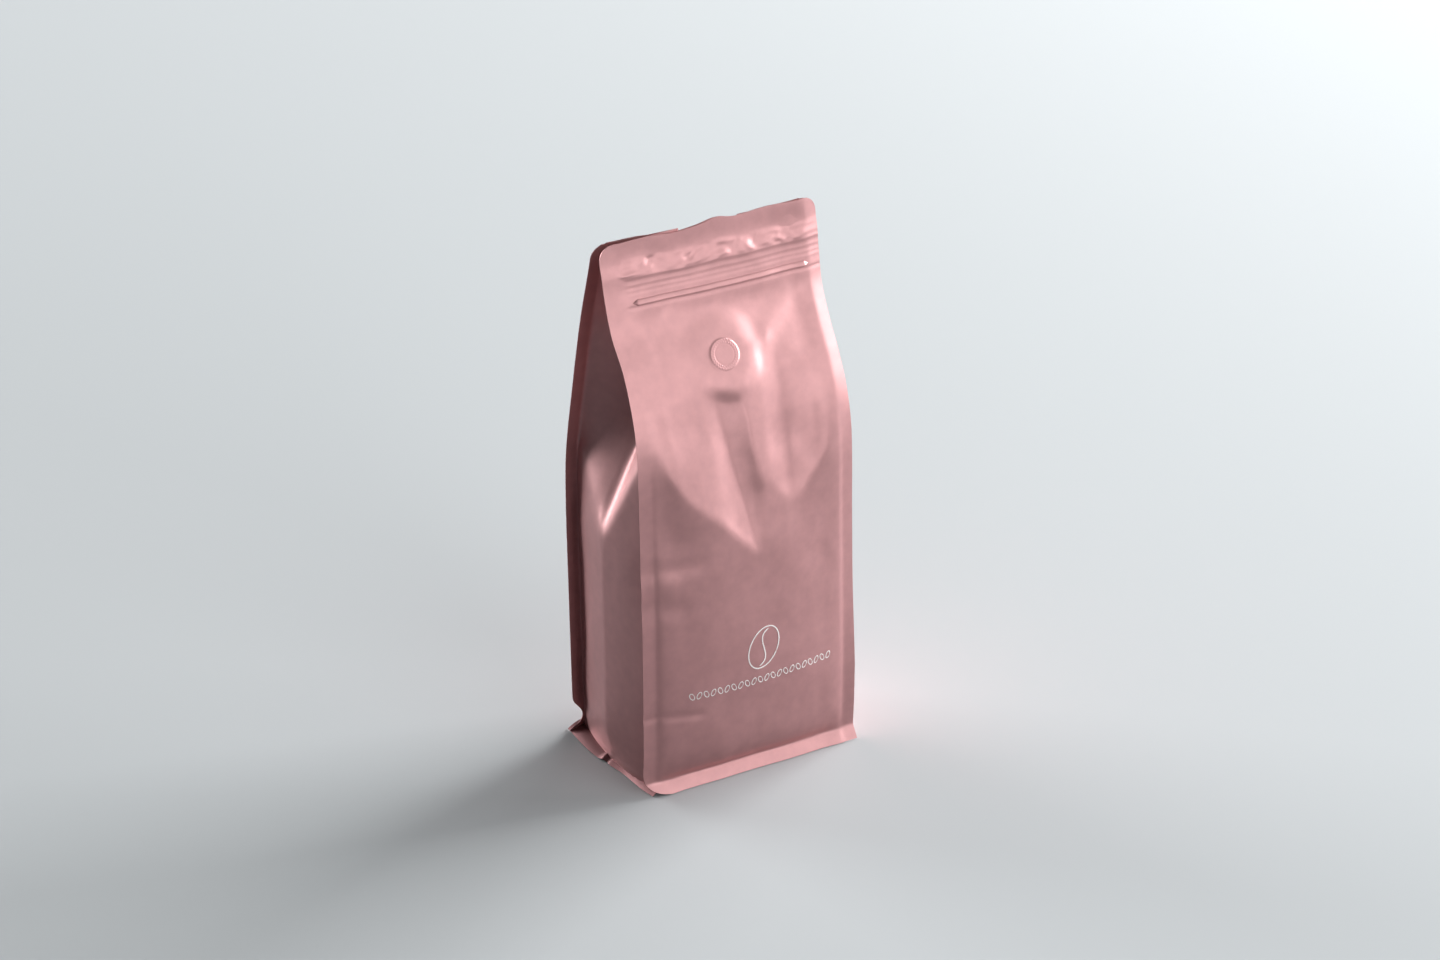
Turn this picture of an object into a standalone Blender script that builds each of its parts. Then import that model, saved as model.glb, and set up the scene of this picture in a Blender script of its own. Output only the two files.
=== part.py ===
"""Flat-bottomed coffee bag with side gussets, a zip track and a vent valve, standing upright."""

import math

import bmesh
import bpy
from mathutils import Vector

# Driving dimensions, in metres. X is the width, Y the depth (the front faces -Y), Z is up.
HEIGHT = 0.334
HALF_WIDTH = 0.0725
FIN_WIDTH = 0.0085
SEAL = 0.001
FLANGE_WIDTH = 0.009
FLANGE_SLOPE = math.radians(56)
CREASE_HEIGHT = FLANGE_WIDTH * math.sin(FLANGE_SLOPE) + SEAL * math.cos(FLANGE_SLOPE)
TOP_RADIUS = FIN_WIDTH
BOTTOM_RADIUS = 0.017
NOTCH_LEVEL = 0.005
NOTCH_HALF = 0.014
NOTCH_DEPTH = 0.007
GUSSET_HALF = 0.0456
GUSSET_RIDGE = 0.073
FORK_HEIGHT = 0.1525
FRONT_FORK_TOP = 0.226
BACK_FORK_TOP = 0.195
GUSSET_OUT = 0.002
GUSSET_SWELL = (0.002, 0.034)
SEALED_HEIGHT = 0.300

# Side profiles of the two panels at their fins: (height, depth).
FRONT_EDGE = (
    (0.008, -0.0423), (0.027, -0.0432), (0.090, -0.0433), (0.150, -0.0422), (0.200, -0.0405),
    (0.232, -0.0350), (0.262, -0.0217), (0.283, -0.0088), (0.302, -0.0028), (0.318, 0.0008),
    (0.334, 0.0040),
)
BACK_EDGE = (
    (0.008, 0.0440), (0.030, 0.0450), (0.110, 0.0475), (0.156, 0.0486), (0.190, 0.0470),
    (0.238, 0.0372), (0.282, 0.0268), (0.316, 0.0164), (0.334, 0.0115),
)
# How far the middle of each panel stands out of its fin line: (height, distance outward).
FRONT_BELLY = (
    (0.008, 0.0), (0.012, 0.0038), (0.018, 0.0064), (0.028, 0.0079), (0.050, 0.0084), (0.090, 0.0081),
    (0.115, 0.0074), (0.135, 0.0067), (0.190, 0.0048), (0.240, 0.0024), (0.285, 0.0), (0.311, 0.0),
    (0.323, -0.0010), (0.334, -0.0014),
)
BACK_BELLY = (
    (0.008, 0.0), (0.024, 0.0020), (0.060, 0.0030), (0.150, 0.0034), (0.200, 0.0010),
    (0.260, -0.0020), (0.285, -0.0050), (0.300, -0.0078), (0.311, -0.0092), (0.323, -0.0086),
    (0.334, -0.0037),
)
# The front belly stands out most left of the middle.
BELLY_PEAK = -0.020
CUSHION_ROUND = 0.8
CUSHION_SHARE = (0.200, 0.300)
# How much further back the front panel stands at its right fin, and how much narrower it is:
# (height, distance).
RIGHT_SAG = (
    (0.050, 0.0), (0.100, 0.0018), (0.150, 0.0026), (0.205, 0.0028), (0.232, 0.0038), (0.262, 0.0053),
    (0.283, 0.0043), (0.302, 0.0035), (0.334, 0.0030),
)
SAG_START = -0.010
WAIST = ((0.205, 0.0), (0.232, 0.0010), (0.262, 0.0020), (0.283, 0.0012), (0.302, 0.0004), (0.318, 0.0))
# The front panel leans back above its belly in a left and a right facet, each from a line across
# the panel: (x, height). The right facet gains part of its lean from a lower, level line.
LEFT_START = (
    (-0.066, 0.228), (-0.058, 0.213), (-0.051, 0.201), (-0.044, 0.190), (-0.036, 0.181), (-0.022, 0.169),
    (-0.010, 0.156), (0.002, 0.145),
)
RIGHT_FACET = (
    (0.004, 0.190), (0.013, 0.186), (0.021, 0.177), (0.030, 0.171), (0.038, 0.178), (0.053, 0.195),
    (0.064, 0.205),
)
RIGHT_START = 0.147
RIGHT_SHARE = 0.5
RIGHT_SPAN = (0.024, 0.060)
LEFT_LEAN = 0.235
RIGHT_LEAN = 0.220
CREASE_SOFT = 0.003
RIGHT_SOFT = 0.010
# Edges of the strip between the facets: (height, x).
STRIP_LEFT = (
    (0.145, 0.001), (0.165, -0.001), (0.180, -0.004), (0.190, -0.006), (0.205, -0.009), (0.225, -0.014),
    (0.240, -0.017), (0.262, -0.018),
)
STRIP_RIGHT = (
    (0.145, 0.007), (0.165, 0.008), (0.180, 0.009), (0.190, 0.008), (0.210, 0.004), (0.230, 0.002),
    (0.245, -0.002), (0.262, -0.006),
)
# The facets start from the shape at these heights and end where they meet the shoulder.
LEAN_BASE = 0.180
BELLY_BASE = 0.135
SHOULDER_DROP = 0.012
SHOULDER_SPAN = (0.190, 0.235)
SHOULDER_SOFT = 0.0035
HEADER_SPAN = (0.276, 0.296)
HOLD_START = 0.046
# Angle by which the right front fin is folded back about its root: (height, degrees).
FIN_FOLD = ((0.050, 0.0), (0.100, 10.0), (0.150, 12.0), (0.334, 12.0))
# How far the seam lip at the foot of each side reaches past the fin roots: (depth, reach).
LIP_REACH = (
    (-0.042, 0.0030), (-0.035, 0.0042), (-0.015, 0.0056), (0.006, 0.0086), (0.020, 0.0092),
    (0.036, 0.0092), (0.045, 0.0080),
)
# Lines along the foot of a side: (share of the lip's reach, distance outward, height).
LIP_TOP = (1.0, 0.0006, 0.0008)
LIP_FOOT = (1.0, -0.0002, 0.0)
LIP_GROOVE = (0.0, 0.0004, 0.0055)
# Rings of the low wall down to the flat foot: (distance inward, height).
FOOT_RINGS = ((0.0008, 0.0035), (0.0022, 0.0010), (0.0050, 0.0))

VALVE_RADIUS = 0.0099
VALVE_X = -0.0052
VALVE_HEIGHT = 0.2625
VALVE_THICKNESS = 0.0011
PAD_RADIUS = 0.015
PAD_FADE = 0.010
PAD_STEP = 0.008
ZIP_LEFT = -0.055
ZIP_RIGHT = 0.0625
ZIP_HEIGHT = 0.2978
ZIP_DROP = 0.0022
ZIP_HALF = 0.0017
ZIP_PROUD = 0.0010
ZIP_END = 0.45
CLEARANCE = 0.0003

# Mesh steps.
FIN_STEPS = 2
FLAP_STEPS = 8
MIDDLE_STEPS = 7
FLANGE_STEPS = 3
CORNER_STEPS = 4
ROW_STEP = 0.0098
LOW_STEP = 0.0045
LOW_ROWS = 0.026
ZIP_BAND = (0.290, 0.302)
ZIP_STEPS = 20
ZIP_SIDES = 6
VALVE_SIDES = 24
WELD = 0.000002

FOLD_AT_TOP = 0.0185
ROOT = HALF_WIDTH - FIN_WIDTH
FRONT = -1
BACK = 1


def clear_scene():
    """Remove every object so that the script starts from nothing."""
    for item in list(bpy.data.objects):
        bpy.data.objects.remove(item, do_unlink=True)


def make_collection(name):
    """Make a collection in the scene."""
    collection = bpy.data.collections.new(name)
    bpy.context.scene.collection.children.link(collection)
    return collection


def tangent(points, index):
    """Slope of the smooth curve at one of its points."""
    low = points[max(index - 1, 0)]
    high = points[min(index + 1, len(points) - 1)]
    return (high[1] - low[1]) / (high[0] - low[0])


def curve_at(points, place):
    """Value at a place on a smooth curve through the points, level beyond both ends."""
    if place <= points[0][0]:
        return points[0][1]
    if place >= points[-1][0]:
        return points[-1][1]
    index = max(i for i, point in enumerate(points[:-1]) if point[0] <= place)
    start, start_value = points[index]
    end, end_value = points[index + 1]
    span = end - start
    t = (place - start) / span
    rise = span * tangent(points, index)
    fall = span * tangent(points, index + 1)
    gain = end_value - start_value
    return start_value + rise * t + (3 * gain - 2 * rise - fall) * t**2 + (rise + fall - 2 * gain) * t**3


def smooth_step(low, high, value):
    """0 below low, 1 above high and a soft ramp between them."""
    t = min(max((value - low) / (high - low), 0.0), 1.0)
    return t * t * (3 - 2 * t)


def ramp(distance, soft):
    """Distance past a line, zero before it, with a soft start."""
    bend = min(max(distance + soft, 0.0), 2 * soft)
    return bend * bend / (4 * soft) + max(distance - soft, 0.0)


def crown(x, height, peak=0.0):
    """Share of the belly at a distance from its peak: a cushion low down, a flat pleat at the top."""
    across = (peak - x) / (ROOT + peak) if x < peak else (x - peak) / (ROOT - peak)
    across = min(across, 1.0)
    cushion = 1 - CUSHION_ROUND * across**2 - (1 - CUSHION_ROUND) * across**8
    pleat = smooth_step(ROOT, FOLD_AT_TOP, abs(x))
    share = smooth_step(*CUSHION_SHARE, height)
    return cushion * (1 - share) + pleat * share


def facet_lean(x, height):
    """How far the front panel leans back at a place: in the left facet, the strip or the right one."""
    left = ramp(height - curve_at(LEFT_START, x), CREASE_SOFT)
    share = RIGHT_SHARE * (1 - smooth_step(*RIGHT_SPAN, x))
    right = share * ramp(height - RIGHT_START, RIGHT_SOFT)
    right += (1 - share) * ramp(height - curve_at(RIGHT_FACET, x), CREASE_SOFT)
    strip = curve_at(STRIP_LEFT, height)
    across = min(max((x - strip) / (curve_at(STRIP_RIGHT, height) - strip), 0.0), 1.0)
    return LEFT_LEAN * left * (1 - across) + RIGHT_LEAN * right * across


def leaning_front(x, height):
    """Depth of the front panel: an upright belly, and facets that lean back to the shoulder above it."""
    sag = smooth_step(SAG_START, ROOT, x)
    edge = curve_at(FRONT_EDGE, height) + curve_at(RIGHT_SAG, height) * sag
    free = edge - curve_at(FRONT_BELLY, height) * crown(x, height, BELLY_PEAK)
    held = min(height, LEAN_BASE)
    low = min(height, BELLY_BASE)
    upright = curve_at(FRONT_EDGE, held) + curve_at(RIGHT_SAG, held) * sag
    facets = upright - curve_at(FRONT_BELLY, low) * crown(x, low, BELLY_PEAK) + facet_lean(x, height)
    shoulder = free - SHOULDER_DROP * (1 - smooth_step(*SHOULDER_SPAN, height))
    lean = (facets + shoulder + math.hypot(facets - shoulder, SHOULDER_SOFT)) / 2
    hold = max(smooth_step(*HEADER_SPAN, height), smooth_step(HOLD_START, ROOT, abs(x)))
    return lean * (1 - hold) + free * hold


def valve_pad():
    """Centre depth of the flat pad under the valve, and its slopes along X and Z."""
    depth = leaning_front(VALVE_X, VALVE_HEIGHT)
    right = leaning_front(VALVE_X + PAD_STEP, VALVE_HEIGHT)
    left = leaning_front(VALVE_X - PAD_STEP, VALVE_HEIGHT)
    above = leaning_front(VALVE_X, VALVE_HEIGHT + PAD_STEP)
    below = leaning_front(VALVE_X, VALVE_HEIGHT - PAD_STEP)
    return depth, (right - left) / (2 * PAD_STEP), (above - below) / (2 * PAD_STEP)


def front_depth(x, height):
    """Depth of the front panel with the flat pad that carries the valve."""
    depth, slope_x, slope_z = PAD
    plane = depth + slope_x * (x - VALVE_X) + slope_z * (height - VALVE_HEIGHT)
    away = math.hypot(x - VALVE_X, height - VALVE_HEIGHT)
    free = smooth_step(PAD_RADIUS, PAD_RADIUS + PAD_FADE, away)
    return plane * (1 - free) + leaning_front(x, height) * free


def back_depth(x, height):
    """Depth of the back panel."""
    return curve_at(BACK_EDGE, height) + curve_at(BACK_BELLY, height) * crown(x, height)


def tip_reach(side, x, level):
    """Half width of a panel at a level above its bottom crease, with the corners cut round."""
    above_edge = level + FLANGE_WIDTH
    below_top = HEIGHT - CREASE_HEIGHT - level
    reach = HALF_WIDTH
    if below_top < TOP_RADIUS:
        reach -= TOP_RADIUS - math.sqrt(max(TOP_RADIUS**2 - (TOP_RADIUS - below_top)**2, 0.0))
    if side == FRONT and x < 0 and above_edge < BOTTOM_RADIUS:
        reach -= BOTTOM_RADIUS - math.sqrt(BOTTOM_RADIUS**2 - (BOTTOM_RADIUS - above_edge)**2)
    if side == BACK:
        notch = max(1 - abs(level - NOTCH_LEVEL) / NOTCH_HALF, 0.0)
        reach -= NOTCH_DEPTH * notch**1.5
    return reach


def fin_fold(side, x, height):
    """Angle by which a fin is folded back from the plane of its panel."""
    if side == FRONT and x > 0:
        return math.radians(curve_at(FIN_FOLD, height))
    return 0.0


def panel_point(side, x, level, inside=False):
    """Point of a panel's outer skin, or of its inner skin, at a level above the bottom crease."""
    height = CREASE_HEIGHT + max(level, 0.0)
    tip = tip_reach(side, x, level)
    if level > FLANGE_WIDTH:
        reach = min(abs(x), ROOT) + max(abs(x) - ROOT, 0.0) * (tip - ROOT) / FIN_WIDTH
    else:
        reach = abs(x) * tip / HALF_WIDTH
    along = min(reach, ROOT)
    beyond = reach - along
    hand = -1 if x < 0 else 1
    fold = fin_fold(side, x, height) if beyond > 0 else 0.0
    depth = front_depth(hand * along, height) if side == FRONT else back_depth(along, height)
    narrow = 1 - curve_at(WAIST, height) / HALF_WIDTH if side == FRONT else 1.0
    across = hand * (along + beyond * math.cos(fold)) * narrow
    place = Vector((across, depth - side * beyond * math.sin(fold), height))
    inward = Vector((-hand * math.sin(fold), -side * math.cos(fold), 0.0))
    if level <= 0:
        slope = FLANGE_SLOPE if level < 0 else FLANGE_SLOPE / 2 + math.radians(45)
        inward = Vector((0.0, -side * math.sin(slope), -math.cos(slope)))
        place += Vector((0.0, side * math.cos(FLANGE_SLOPE), -math.sin(FLANGE_SLOPE))) * -level
    return place + inward * SEAL if inside else place


def spread(start, end, steps):
    """Evenly spaced values from start to end, both included."""
    return [start + (end - start) * i / steps for i in range(steps + 1)]


def panel_columns():
    """X of the columns of a panel, from the left fin's tip to the right fin's."""
    right = spread(FOLD_AT_TOP, ROOT, FLAP_STEPS)[1:] + spread(ROOT, HALF_WIDTH, FIN_STEPS)[1:]
    return [-x for x in reversed(right)] + spread(-FOLD_AT_TOP, FOLD_AT_TOP, MIDDLE_STEPS) + right


def body_levels():
    """Levels of the rows above the bottom crease, with a row on every fold and corner."""
    stops = (LOW_ROWS, FORK_HEIGHT, BACK_FORK_TOP, FRONT_FORK_TOP, *ZIP_BAND, HEIGHT - TOP_RADIUS)
    heights = spread(CREASE_HEIGHT, LOW_ROWS, round((LOW_ROWS - CREASE_HEIGHT) / LOW_STEP))
    for start, end in zip(stops, stops[1:]):
        heights += spread(start, end, math.ceil((end - start) / ROW_STEP))[1:]
    for step in range(1, CORNER_STEPS + 1):
        turn = math.radians(90) * step / CORNER_STEPS
        heights.append(HEIGHT - TOP_RADIUS + TOP_RADIUS * math.sin(turn))
    return [height - CREASE_HEIGHT for height in heights]


def flange_levels():
    """Levels of the rows of a flange, from its free edge up to the bottom crease."""
    return spread(-FLANGE_WIDTH, 0.0, FLANGE_STEPS)


def fold_reach(height, front_root, back_root):
    """Distance of a gusset's middle fold from the middle of the bag."""
    half_gap = min((back_root.y - front_root.y) / 2, GUSSET_HALF)
    return ROOT - math.sqrt(GUSSET_HALF**2 - half_gap**2)


def gusset_fold(hand, height, front_root, back_root):
    """Point of a gusset's middle fold: a ridge below the fork and a valley above it."""
    middle = (front_root.y + back_root.y) / 2
    if height <= FORK_HEIGHT:
        swell = smooth_step(*GUSSET_SWELL, height)
        out = ROOT + GUSSET_OUT + (GUSSET_RIDGE - ROOT - GUSSET_OUT) * swell
        return Vector((hand * out, middle, height))
    if height < FRONT_FORK_TOP:
        front_top = panel_point(FRONT, hand * ROOT, FRONT_FORK_TOP - CREASE_HEIGHT, True)
        back_top = panel_point(BACK, hand * ROOT, FRONT_FORK_TOP - CREASE_HEIGHT, True)
        inner = fold_reach(FRONT_FORK_TOP, front_top, back_top)
        share = (height - FORK_HEIGHT) / (FRONT_FORK_TOP - FORK_HEIGHT)
        return Vector((hand * (GUSSET_RIDGE + (inner - GUSSET_RIDGE) * share), middle, height))
    reach = fold_reach(height, front_root, back_root)
    front = panel_point(FRONT, hand * reach, height - CREASE_HEIGHT).y
    back = panel_point(BACK, hand * reach, height - CREASE_HEIGHT).y
    blend = smooth_step(FRONT_FORK_TOP, SEALED_HEIGHT, height)
    return Vector((hand * reach, middle + ((front + back) / 2 - middle) * blend, height))


def half_gusset(root, fold, fork, fork_top, top_root, height):
    """Points across half a gusset, from a fin root over the fork's branch to the middle fold."""
    ridge = (root + fold) / 2
    if FORK_HEIGHT <= height <= fork_top:
        share = (height - FORK_HEIGHT) / (fork_top - FORK_HEIGHT)
        ridge = fork + (top_root - fork) * share
    half = FLAP_STEPS // 2
    outer = [root + (ridge - root) * i / half for i in range(half)]
    inner = [ridge + (fold - ridge) * i / half for i in range(half + 1)]
    return outer + inner


def gusset_row(hand, level):
    """Points across a gusset at a level, from the front fin root to the back one."""
    height = CREASE_HEIGHT + level
    roots = {side: panel_point(side, hand * ROOT, level, True) for side in (FRONT, BACK)}
    fold = gusset_fold(hand, height, roots[FRONT], roots[BACK])
    halves = []
    for side, fork_top in ((FRONT, FRONT_FORK_TOP), (BACK, BACK_FORK_TOP)):
        at_fork = [panel_point(s, hand * ROOT, FORK_HEIGHT - CREASE_HEIGHT, True) for s in (FRONT, BACK)]
        fork = gusset_fold(hand, FORK_HEIGHT, *at_fork)
        top_root = panel_point(side, hand * ROOT, fork_top - CREASE_HEIGHT, True)
        halves.append(half_gusset(roots[side], fold, fork, fork_top, top_root, height))
    return halves[0] + halves[1][-2::-1]


def side_line(hand, line):
    """Line along the foot of a side, between its two seam corners."""
    share, outward, height = line
    points = gusset_row(hand, 0.0)
    middle = []
    for point in points[1:-1]:
        reach = ROOT + outward + curve_at(LIP_REACH, point.y) * share
        middle.append(Vector((hand * reach, point.y, height)))
    return [points[0]] + middle + [points[-1]]


def add_patch(mesh, rows):
    """Add a grid of faces through rows of points."""
    grid = [[mesh.verts.new(point) for point in row] for row in rows]
    for low, high in zip(grid, grid[1:]):
        for i in range(len(low) - 1):
            mesh.faces.new((low[i], low[i + 1], high[i + 1], high[i]))


def add_panel(mesh, side):
    """Add a panel: its outer skin, the inner skin of its fins and flange, and its cut edges."""
    columns = panel_columns()
    levels = flange_levels()[:-1] + body_levels()
    add_patch(mesh, [[panel_point(side, x, level) for x in columns] for level in levels])
    for fin in (columns[:FIN_STEPS + 1], columns[-FIN_STEPS - 1:]):
        add_patch(mesh, [[panel_point(side, x, level, True) for x in fin] for level in levels])
    between = columns[FIN_STEPS:-FIN_STEPS]
    flange = flange_levels()
    add_patch(mesh, [[panel_point(side, x, level, True) for x in between] for level in flange])
    skins = (False, True)
    for x in (columns[0], columns[-1]):
        add_patch(mesh, [[panel_point(side, x, level, inside) for level in levels] for inside in skins])
    add_patch(mesh, [[panel_point(side, x, levels[0], inside) for x in columns] for inside in skins])


def add_gusset(mesh, hand):
    """Add a side gusset and the seam lip at its foot."""
    add_patch(mesh, [gusset_row(hand, level) for level in body_levels()])
    lip = [side_line(hand, line) for line in (LIP_TOP, LIP_FOOT, LIP_GROOVE)]
    add_patch(mesh, [gusset_row(hand, 0.0)] + lip)


def add_bottom(mesh):
    """Add the bottom: a low wall behind the flanges and lips, and the flat face it rests on."""
    between = panel_columns()[FIN_STEPS:-FIN_STEPS]
    front = [panel_point(FRONT, x, 0.0, True) for x in between]
    back = [panel_point(BACK, x, 0.0, True) for x in between]
    right = side_line(1, LIP_GROOVE)[1:-1]
    left = side_line(-1, LIP_GROOVE)[-2:0:-1]
    ring = front + right + back[::-1] + left
    rings = [ring]
    middle = (front[0].y + back[0].y) / 2
    for inset, height in FOOT_RINGS:
        squeeze_x = 1 - inset / ROOT
        squeeze_y = 1 - inset / back[0].y
        rings.append([Vector((p.x * squeeze_x, middle + (p.y - middle) * squeeze_y, height)) for p in ring])
    add_patch(mesh, [points + points[:1] for points in rings])
    mesh.faces.new([mesh.verts.new(point) for point in rings[-1]])


def add_top(mesh):
    """Add the cut top edge: the middle where both panels meet and a strip along each flap."""
    columns = panel_columns()
    level = HEIGHT - CREASE_HEIGHT
    front = [panel_point(FRONT, x, level) for x in columns[FIN_STEPS:-FIN_STEPS]]
    back = [panel_point(BACK, x, level) for x in columns[FIN_STEPS:-FIN_STEPS]]
    middle = [front[FLAP_STEPS:-FLAP_STEPS], back[FLAP_STEPS:-FLAP_STEPS]]
    add_patch(mesh, middle)
    left = gusset_row(-1, level)
    right = gusset_row(1, level)
    add_patch(mesh, [front[:FLAP_STEPS + 1], left[:FLAP_STEPS + 1]])
    add_patch(mesh, [back[:FLAP_STEPS + 1], left[:FLAP_STEPS - 1:-1]])
    add_patch(mesh, [front[:-FLAP_STEPS - 2:-1], right[:FLAP_STEPS + 1]])
    add_patch(mesh, [back[:-FLAP_STEPS - 2:-1], right[:FLAP_STEPS - 1:-1]])
    for end, gusset in ((0, left), (-1, right)):
        corners = (middle[0][end], middle[1][end], gusset[FLAP_STEPS])
        mesh.faces.new([mesh.verts.new(point) for point in corners])


def film_material(name, color, roughness, metallic):
    """Make a plain material of the part's colour."""
    material = bpy.data.materials.new(name)
    material.use_nodes = True
    shader = material.node_tree.nodes["Principled BSDF"]
    shader.inputs["Base Color"].default_value = (*color, 1.0)
    shader.inputs["Roughness"].default_value = roughness
    shader.inputs["Metallic"].default_value = metallic
    return material


def finish_object(name, mesh, material, collection, parent):
    """Turn a mesh into an object of the bag."""
    data = bpy.data.meshes.new(name)
    mesh.to_mesh(data)
    mesh.free()
    item = bpy.data.objects.new(name, data)
    item.data.materials.append(material)
    item.parent = parent
    collection.objects.link(item)
    return item


def make_bag(collection, parent):
    """Make the filled bag: two panels with fins and flanges, two gussets, the bottom and the top."""
    mesh = bmesh.new()
    for side in (FRONT, BACK):
        add_panel(mesh, side)
    for hand in (-1, 1):
        add_gusset(mesh, hand)
    add_bottom(mesh)
    add_top(mesh)
    bmesh.ops.remove_doubles(mesh, verts=mesh.verts[:], dist=WELD)
    bmesh.ops.recalc_face_normals(mesh, faces=mesh.faces[:])
    material = film_material("bag_film", (0.52, 0.27, 0.26), 0.42, 0.35)
    return finish_object("bag", mesh, material, collection, parent)


def make_valve(collection, parent):
    """Make the vent valve: a turned disc with a raised rim, flat on its pad."""
    data = bpy.data.meshes.new("valve")
    mesh = bmesh.new()
    rim = VALVE_RADIUS
    profile = (
        (0.0, 0.55), (0.62, 0.55), (0.68, 1.0), (0.84, 1.0), (0.90, 0.6), (1.0, 0.3), (1.0, 0.0), (0.0, 0.0),
    )
    points = [mesh.verts.new((rim * r, 0.0, VALVE_THICKNESS * h)) for r, h in profile]
    for start, end in zip(points, points[1:]):
        mesh.edges.new((start, end))
    mesh.to_mesh(data)
    mesh.free()
    item = bpy.data.objects.new("valve", data)
    data.materials.append(film_material("valve_cap", (0.52, 0.27, 0.26), 0.38, 0.35))
    turn = item.modifiers.new("turn", "SCREW")
    turn.angle = math.radians(360)
    turn.steps = VALVE_SIDES
    turn.render_steps = VALVE_SIDES
    turn.use_merge_vertices = True
    turn.merge_threshold = WELD
    depth, slope_x, slope_z = PAD
    outward = Vector((slope_x, -1.0, slope_z)).normalized()
    seat = Vector((VALVE_X, depth, VALVE_HEIGHT))
    item.location = seat + outward * CLEARANCE
    item.rotation_euler = outward.to_track_quat("Z", "Y").to_euler()
    item.parent = parent
    collection.objects.link(item)
    return item


def make_zip(collection, parent):
    """Make the zip track: a rounded rib along the film, with tapered ends."""
    mesh = bmesh.new()
    rows = []
    for x in spread(ZIP_LEFT, ZIP_RIGHT, ZIP_STEPS):
        share = (x - ZIP_LEFT) / (ZIP_RIGHT - ZIP_LEFT)
        height = ZIP_HEIGHT + ZIP_DROP * (0.5 - share)
        end = min(x - ZIP_LEFT, ZIP_RIGHT - x)
        size = ZIP_END + (1 - ZIP_END) * smooth_step(0.0, 2 * ZIP_HALF, end)
        low, high = ZIP_BAND
        low_film = front_depth(x, low)
        high_film = front_depth(x, high)
        row = []
        for turn in spread(0.0, math.radians(180), ZIP_SIDES):
            z = height + ZIP_HALF * size * math.cos(turn)
            film = low_film + (high_film - low_film) * (z - low) / (high - low)
            row.append(Vector((x, film - CLEARANCE - ZIP_PROUD * size * math.sin(turn), z)))
        rows.append(row + row[:1])
    add_patch(mesh, rows)
    bmesh.ops.remove_doubles(mesh, verts=mesh.verts[:], dist=WELD)
    bmesh.ops.holes_fill(mesh, edges=mesh.edges[:], sides=0)
    bmesh.ops.recalc_face_normals(mesh, faces=mesh.faces[:])
    material = film_material("zip_rib", (0.58, 0.32, 0.30), 0.36, 0.35)
    return finish_object("zip_track", mesh, material, collection, parent)


def centre_depth(bag):
    """Middle of the bag's depth, so that the whole can stand centred on the origin."""
    depths = [vertex.co.y for vertex in bag.data.vertices]
    return (min(depths) + max(depths)) / 2


PAD = valve_pad()


def main():
    """Build the bag and its two fittings."""
    clear_scene()
    collection = make_collection("coffee_bag")
    frame = bpy.data.objects.new("coffee_bag_frame", None)
    collection.objects.link(frame)
    bag = make_bag(collection, frame)
    make_valve(collection, frame)
    make_zip(collection, frame)
    frame.location.y = -centre_depth(bag)


main()
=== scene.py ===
import math
import bpy
import numpy as np
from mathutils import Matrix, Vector


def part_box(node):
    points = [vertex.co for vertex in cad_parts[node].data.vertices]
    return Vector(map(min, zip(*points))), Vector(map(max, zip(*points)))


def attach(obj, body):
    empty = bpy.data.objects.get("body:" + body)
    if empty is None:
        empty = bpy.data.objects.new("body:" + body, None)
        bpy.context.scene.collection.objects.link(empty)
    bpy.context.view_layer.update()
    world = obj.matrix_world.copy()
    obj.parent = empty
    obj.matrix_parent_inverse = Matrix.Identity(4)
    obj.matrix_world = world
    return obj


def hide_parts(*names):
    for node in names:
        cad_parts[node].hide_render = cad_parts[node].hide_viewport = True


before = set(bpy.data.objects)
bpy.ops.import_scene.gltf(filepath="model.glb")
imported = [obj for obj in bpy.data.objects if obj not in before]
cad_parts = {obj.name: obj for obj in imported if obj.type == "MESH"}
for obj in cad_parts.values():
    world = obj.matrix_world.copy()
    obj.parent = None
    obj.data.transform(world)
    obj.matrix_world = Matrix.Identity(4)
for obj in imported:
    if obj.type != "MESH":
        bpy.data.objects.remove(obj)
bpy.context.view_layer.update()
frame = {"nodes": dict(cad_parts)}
print("frame loaded:", ", ".join(frame["nodes"]))

# Sizes are in metres. X is the width, Y the depth (the front faces -Y), Z is up.
bagLow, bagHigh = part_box("bag")

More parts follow.
